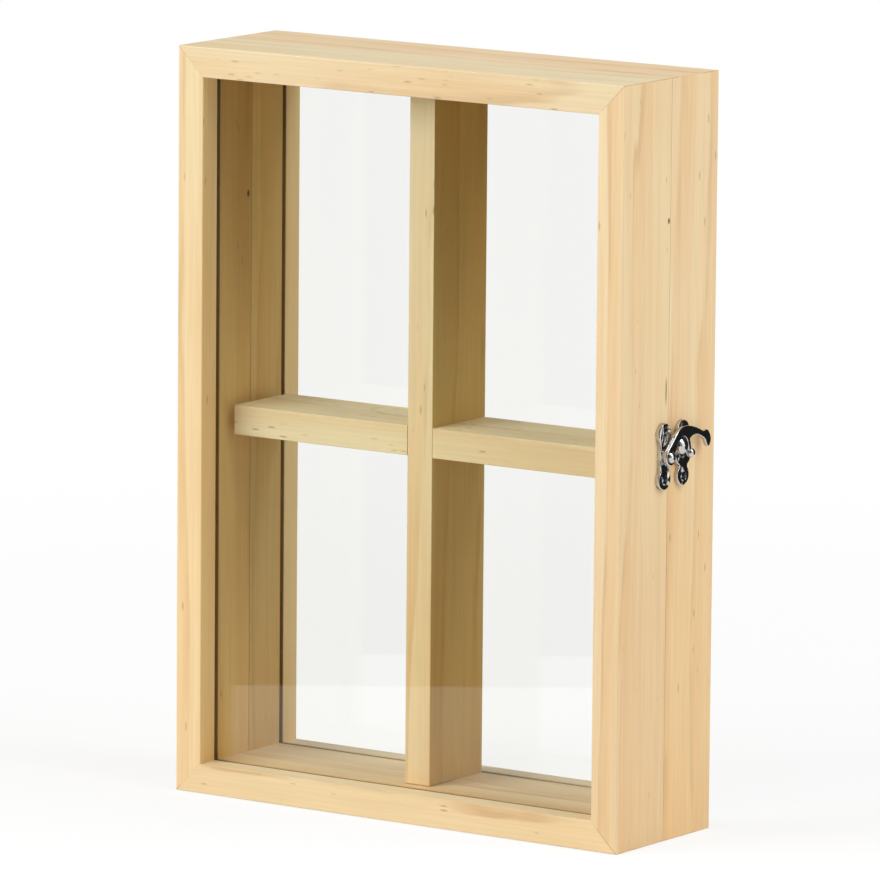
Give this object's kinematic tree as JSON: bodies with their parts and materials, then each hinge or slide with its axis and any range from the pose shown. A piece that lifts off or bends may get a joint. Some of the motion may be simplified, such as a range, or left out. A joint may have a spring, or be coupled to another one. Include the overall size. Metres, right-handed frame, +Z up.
{
  "type": "floating picture frame",
  "caption": "Deep glazed wooden display frame that opens like a door, with a cross of inner boards and a swing hook.",
  "frame": {"origin": "middle of the base, with the seam between the halves in the plane Y = 0", "axes": "+X to the right seen from the front, +Y into the depth towards the rear pane, +Z up"},
  "size_m": [0.2219, 0.066, 0.3],
  "materials": {
    "pine_frame": "bare sanded pine",
    "pine_boards": "bare sanded pine",
    "glass": "clear float glass",
    "nickel": "bright nickel plate"
  },
  "bodies": {
    "rear_half": {"rear_top_rail": "pine_frame", "rear_bottom_rail": "pine_frame", "rear_left_stile": "pine_frame", "rear_right_stile": "pine_frame", "rear_pane": "glass", "vertical_divider": "pine_boards", "horizontal_divider": "pine_boards", "catch_plate": "nickel", "catch_stud": "nickel", "catch_screws": "nickel", "upper_hinge_rear_leaf": "nickel", "lower_hinge_rear_leaf": "nickel", "upper_hinge_pin": "nickel", "lower_hinge_pin": "nickel", "rear_hinge_screws": "nickel"},
    "front_half": {"front_top_rail": "pine_frame", "front_bottom_rail": "pine_frame", "front_left_stile": "pine_frame", "front_right_stile": "pine_frame", "front_pane": "glass", "latch_plate": "nickel", "latch_rivet": "nickel", "latch_screws": "nickel", "upper_hinge_front_leaf": "nickel", "lower_hinge_front_leaf": "nickel", "front_hinge_screws": "nickel"},
    "hook": {"swing_hook": "nickel"}
  },
  "joints": [
    {"name": "front_door", "type": "hinge", "parent": "rear_half", "child": "front_half", "pos_m": [-0.1079, 0, 0.15], "axis": [0, 0, -1], "range_deg": [0, 175]},
    {"name": "hook_swing", "type": "hinge", "parent": "front_half", "child": "hook", "pos_m": [0.106, -0.0041, 0.1528], "axis": [1, 0, 0], "range_deg": [0, 100]}
  ]
}
